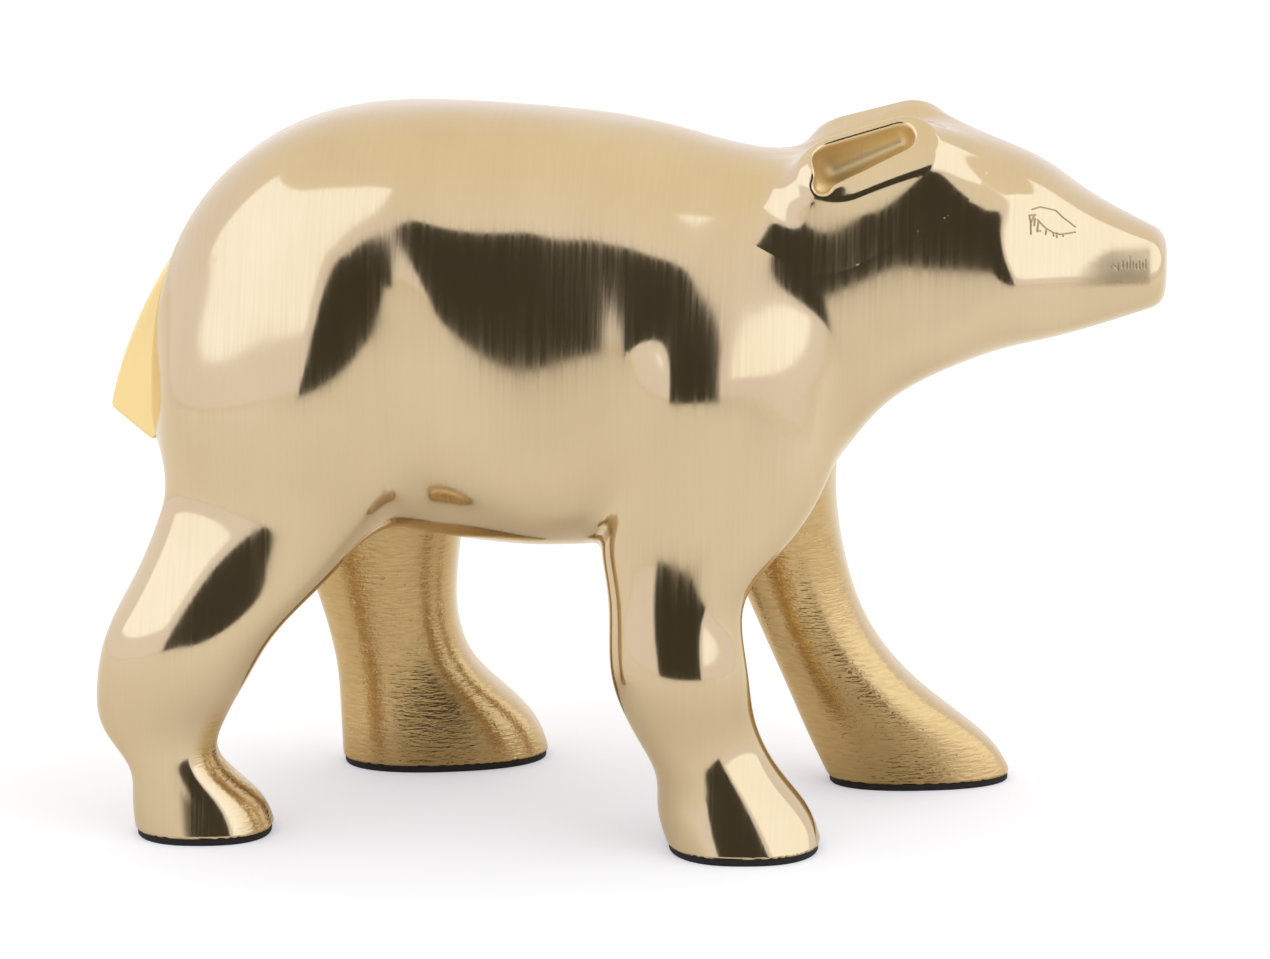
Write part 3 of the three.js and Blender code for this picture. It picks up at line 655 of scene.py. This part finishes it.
# Body halves: everything above the leg seats, split on the middle plane
seat, overlap = legForm["seat"], legForm["overlap"]
for side, word in ((-1, "right"), (1, "left")):
    (rear, front), reach, past = bodyForm["ends"], bodyForm["reach"], bodyForm["past"]
    near, far = (-reach, past) if side < 0 else (-past, reach)
    low, high = (rear, near, seat - past), (front, far, bodyForm["ceiling"])
    planes = [((0, 0, 0), (0, -side, 0)), ((0, 0, seat - overlap), (0, 0, -1))]
    piece, points, normals = castPiece(word + "Shell", shellDistance, headDistance, low, high,
                                       bodyForm["step"], planes, engraving["patches"])
    # The engraved values also carry the painted shade round the mouth.
    addValue(piece, "engraved", np.maximum(engraved(*points.T), mouthShade(*points.T)))
    filed = bodyForm["filed"]
    inner = np.clip(-side * normals[:, 1] * filed["gain"], 0, 1)
    addValue(piece, "filed", inner * np.clip((filed["top"] - points[:, 2]) / filed["fade"], 0, 1))
    install(piece, word + "_shell", polished)
    print(word, "shell", len(points), "corners")

# Painted shade: a darker streak painted down the filed face of the two far feet, standing in for a dark
# reflection: height, place from rear to front, half width
paintedShadeForm = {
    "strength": 0.62, "fade": (14, 32),
    "streaks": {
        "left_front": [(1.2, 0.36, 0.34), (6, 0.42, 0.26), (12, 0.5, 0.2), (22, 0.52, 0.15), (44, 0.5, 0.12)],
        "left_hind": [(1.2, 0.5, 0.36), (6, 0.58, 0.3), (12, 0.72, 0.2), (22, 0.84, 0.13), (44, 0.88, 0.08)],
    },
}


def paintedShadeStreak(name, x, y, z):
    if name not in paintedShadeForm["streaks"]:
        return np.zeros(len(x))
    (rear, _), (front, _) = readCurves(legCurves[name], z)[:2]
    height, middle, half = np.array(paintedShadeForm["streaks"][name]).T
    off = ((x - rear) / (front - rear) - np.interp(z, height, middle)) / np.interp(z, height, half)
    return paintedShadeForm["strength"] * np.exp(-off * off) * (1 - smoothStep(z, *paintedShadeForm["fade"]))


# Legs below the seats; their inner faces are left filed
for name, ribs in legForm["ribs"].items():
    side = -1 if name.startswith("right") else 1
    rows = [r for r in ribs if r[0] < seat + legForm["above"]]
    roomX, roomY = legForm["room"]
    low = (min(r[1] for r in rows) - roomX, min(r[3] - r[4] for r in rows) - roomY, -legForm["under"])
    high = (max(r[2] for r in rows) + roomX, max(r[3] + r[4] for r in rows) + roomY, seat + legForm["past"])
    piece, points, normals = castPiece(name + "Leg", skinDistance, skinDistance, low, high, legForm["step"],
                                       [((0, 0, seat + overlap), (0, 0, 1))])
    filed, toe = legForm["filed"], legForm["toe"]
    inner = np.clip((-side * normals[:, 1] - filed["start"]) * filed["gain"], 0, 1)
    if name == toe["leg"]:
        ahead = np.clip((normals[:, 0] - toe["start"]) * toe["gain"], 0, 1)
        inner = np.maximum(inner, ahead * np.clip((toe["top"] - points[:, 2]) / toe["fade"], 0, 1))
    addValue(piece, "filed", inner)
    # Painted shade: a darker streak down the filed face of the far feet.
    addValue(piece, "paintedShade", inner * paintedShadeStreak(name, *points.T))
    install(piece, name + "_leg", filedBrass)
    print(name, "leg", len(points), "corners")

# Ears: satin in the scoop, with a painted warm glow and painted shade that darkens it with its depth
for side, word in ((-1, "right"), (1, "left")):
    ear = lambda x, y, z, s=side: earDistance(x, s * y, z)
    (x0, y0, z0), (x1, y1, z1) = earForm["low"], earForm["high"]
    low, high = (x0, min(side * y0, side * y1), z0), (x1, max(side * y0, side * y1), z1)
    piece, points, _ = castPiece(word + "Ear", ear, ear, low, high, earForm["step"])
    asLeft = (points[:, 0], side * points[:, 1], points[:, 2])
    scooped = np.clip(1 - earHollow(*asLeft) / earForm["goldenEdge"], 0, 1)
    addValue(piece, "satin", scooped)
    # Painted warm glow in the scoop.
    addValue(piece, "goldenAndGlow", earForm["goldenAndGlow"] * scooped)
    # Painted shade in the scoop, darker the deeper it lies.
    below = -earPlace(*asLeft)[2]
    addValue(piece, "paintedShade", earForm["shade"] * scooped * smoothStep(below, *earForm["shadeDepth"]))
    install(piece, word + "_ear", polished)
    print(word, "ear", len(points), "corners")

# Tail: a bowed wedge with softened edges
tailForm = {
    "top": (-74, 98), "bow": (-85, 82.5), "tip": (-87.9, 67.6), "heel": (-81, 62), "root": (-68, 68),
    "thickness": 9, "edge": 0.7, "edgeSteps": 4, "sharpFrom": 0.5, "smoothTo": 40, "steps": 24,
}


def makeTail():
    f = tailForm
    outline = []
    for k in range(f["steps"] + 1):
        t = k / f["steps"]
        a, b, c = (1 - t) ** 2, 2 * t * (1 - t), t * t
        outline.append(tuple(a * p + b * q + c * r for p, q, r in zip(f["top"], f["bow"], f["tip"])))
    outline += [f["heel"], f["root"]]
    count = len(outline)
    half = f["thickness"] / 2
    corners = [(x, -half, z) for x, z in outline] + [(x, half, z) for x, z in outline]
    faces = [tuple(range(count)), tuple(range(2 * count - 1, count - 1, -1))]
    faces += [(k, k + count, (k + 1) % count + count, (k + 1) % count) for k in range(count)]
    mesh = bpy.data.meshes.new("tail")
    mesh.from_pydata([tuple(p) for p in toFrame(corners)], [], faces)
    form = bmesh.new()
    form.from_mesh(mesh)
    bmesh.ops.recalc_face_normals(form, faces=form.faces)
    sharp = [e for e in form.edges if e.calc_face_angle(0) > f["sharpFrom"]]
    bmesh.ops.bevel(form, geom=sharp, offset=f["edge"] / 1000, segments=f["edgeSteps"], profile=0.5,
                    affect="EDGES")
    form.to_mesh(mesh)
    form.free()
    mesh.polygons.foreach_set("use_smooth", np.ones(len(mesh.polygons), bool))
    mesh.set_sharp_from_angle(angle=math.radians(f["smoothTo"]))
    return addObject("bearTail", mesh)


tail = makeTail()
addValue(tail, "goldenAndGlow", np.ones(len(tail.data.vertices)))
install(tail, "tail", polished)
print("tail made")

# Rubber pads under the soles
padForm = {"inset": 0.4, "height": 1.25, "edge": 0.15, "sides": 72}


def makePad(name):
    _, rear, front, mid, half, turn, square = legForm["ribs"][name][0]
    c, s = math.cos(math.radians(turn)), math.sin(math.radians(turn))
    power = 2 / square
    rings = []
    for z, extra in ((0, padForm["edge"]), (padForm["edge"], 0), (padForm["height"], 0)):
        a = (front - rear) / 2 - padForm["inset"] - extra
        b = half - padForm["inset"] - extra
        for k in range(padForm["sides"]):
            angle = 2 * math.pi * k / padForm["sides"]
            u = a * math.copysign(abs(math.cos(angle)) ** power, math.cos(angle))
            v = b * math.copysign(abs(math.sin(angle)) ** power, math.sin(angle))
            rings.append(((rear + front) / 2 + u * c - v * s, mid + u * s + v * c, z))
    n = padForm["sides"]
    faces = [tuple(range(n - 1, -1, -1)), tuple(range(2 * n, 3 * n))]
    for r in (0, n):
        faces += [(r + k, r + (k + 1) % n, r + n + (k + 1) % n, r + n + k) for k in range(n)]
    mesh = bpy.data.meshes.new(name + "Pad")
    mesh.from_pydata([tuple(p) for p in toFrame(rings)], [], faces)
    return addObject(name + "Pad", mesh)


for name in legForm["ribs"]:
    install(makePad(name), name + "_pad", rubber)
print("pads made")

# Studio: white floor, bright room, one dark gap on the camera's side, two softboxes
studio = {
    "floor": (0.8, 0.8, 0.8, 1), "floorGlow": (0.27, 0.29, 0.36, 1), "floorShine": (0.12, 0.095, 0.055, 1),
    "floorCorners": [(-4, -4, 0), (4, -4, 0), (4, 5, 0), (-4, 5, 0)],
    "wall": (1, 0.96, 0.95, 1), "ceiling": (1.02, 0.94, 0.75, 1), "ceilingFrom": (0.34, 0.97),
    "gap": {"azimuth": (-14, 33), "distance": 1.15, "height": 0.85, "corner": 0.32,
            "level": (0.062, 0.056, 0.04, 1)},
    "boxes": [
        {"name": "leftBox", "azimuth": (-90, -21), "elevation": (15, 53), "level": (1.37, 1.42, 1.47, 1)},
        {"name": "rightBox", "azimuth": (38, 122), "elevation": (8, 56), "level": (1.4, 1.45, 1.47, 1)},
    ],
    "boxDistance": 1.3, "middle": (0, 0, 0.06), "steps": 12,
}


def glowMaterial(name, level):
    material = bpy.data.materials.new(name)
    material.use_nodes = True
    tree = material.node_tree
    tree.nodes.clear()
    glow = addNode(tree, "ShaderNodeEmission", {"Color": level, "Strength": 1.0})
    addNode(tree, "ShaderNodeOutputMaterial", {0: glow.outputs[0]})
    return material


def addPanel(name, corners, faces, material):
    mesh = bpy.data.meshes.new(name)
    mesh.from_pydata([tuple(c) for c in corners], [], faces)
    panel = addObject(name, mesh)
    mesh.materials.append(material)
    panel.visible_camera = False


# Direction from the cub: azimuth 0 is out of its right side (-Y), positive towards the nose.
def bearing(azimuth, elevation):
    a, e = math.radians(azimuth), math.radians(elevation)
    return Vector((math.sin(a) * math.cos(e), -math.cos(a) * math.cos(e), math.sin(e)))


middle = Vector(studio["middle"])
n = studio["steps"]
for box in studio["boxes"]:
    corners = [middle + studio["boxDistance"] * bearing(a, e) for e in np.linspace(*box["elevation"], n + 1)
               for a in np.linspace(*box["azimuth"], n + 1)]
    starts = [row * (n + 1) + k for row in range(n) for k in range(n)]
    faces = [(k, k + 1, k + n + 2, k + n + 1) for k in starts]
    addPanel(box["name"], corners, faces, glowMaterial(box["name"], box["level"]))
gap = studio["gap"]
start, end = (math.tan(math.radians(a)) * gap["distance"] for a in gap["azimuth"])
corners = [(start, 0), (end, 0)]
for x, first in ((end - gap["corner"], 0), (start + gap["corner"], math.pi / 2)):      # rounded upper corners
    corners += [(x + gap["corner"] * math.cos(a), gap["height"] + gap["corner"] * (math.sin(a) - 1))
                for a in np.linspace(first, first + math.pi / 2, n + 1)]
addPanel("darkGap", [(x, -gap["distance"], z) for x, z in corners], [tuple(range(len(corners)))],
         glowMaterial("darkGap", gap["level"]))

floorMesh = bpy.data.meshes.new("floor")
floorMesh.from_pydata(studio["floorCorners"], [], [(0, 1, 2, 3)])
floor = addObject("floor", floorMesh)
floorMaterial = bpy.data.materials.new("floorPaper")
floorMaterial.use_nodes = True
tree = floorMaterial.node_tree
tree.nodes.clear()
rays = addNode(tree, "ShaderNodeLightPath").outputs
mirrored = addMath(tree, "MAXIMUM", rays["Is Glossy Ray"], rays["Is Transmission Ray"])
paper = addNode(tree, "ShaderNodeBsdfDiffuse", {"Color": studio["floor"]})
glow = addNode(tree, "ShaderNodeEmission", {"Color": studio["floorGlow"], "Strength": rays["Is Camera Ray"]})
shine = addNode(tree, "ShaderNodeEmission", {"Color": studio["floorShine"], "Strength": mirrored})
white = addNode(tree, "ShaderNodeAddShader", {0: paper.outputs[0], 1: glow.outputs[0]})
both = addNode(tree, "ShaderNodeAddShader", {0: white.outputs[0], 1: shine.outputs[0]})
addNode(tree, "ShaderNodeOutputMaterial", {0: both.outputs[0]})
floorMesh.materials.append(floorMaterial)

world = bpy.data.worlds.new("studio")
bpy.context.scene.world = world
world.use_nodes = True
tree = world.node_tree
tree.nodes.clear()
upward = addNode(tree, "ShaderNodeSeparateXYZ", {0: addNode(tree, "ShaderNodeTexCoord").outputs["Generated"]})
warm = addRange(tree, upward.outputs["Z"], *studio["ceilingFrom"])
room = addNode(tree, "ShaderNodeMix", {0: warm, 6: studio["wall"], 7: studio["ceiling"]}, data_type="RGBA")
sky = addNode(tree, "ShaderNodeBackground", {"Color": room.outputs[2], "Strength": 1.0})
addNode(tree, "ShaderNodeOutputWorld", {0: sky.outputs[0]})
print("studio made")

# Camera, where the photograph was taken from; focal and across are in the photograph's pixels
view = {
    "azimuth": 7, "elevation": 13, "distance": 800, "target": (0, 0, 56.5),
    "focal": 4800, "across": 1270, "sensor": 36, "nearest": 0.01,
}
target = (Vector(view["target"]) + shift) / 1000
camera = bpy.data.objects.new("camera", bpy.data.cameras.new("camera"))
bpy.context.scene.collection.objects.link(camera)
camera.data.sensor_width = view["sensor"]
camera.data.lens = view["focal"] / view["across"] * view["sensor"]
camera.data.clip_start = view["nearest"]
out = bearing(view["azimuth"], view["elevation"])
camera.location = target + out * view["distance"] / 1000
camera.rotation_euler = (-out).to_track_quat("-Z", "Y").to_euler()
bpy.context.scene.camera = camera
bpy.context.scene.view_settings.view_transform = "Standard"
print("camera set")

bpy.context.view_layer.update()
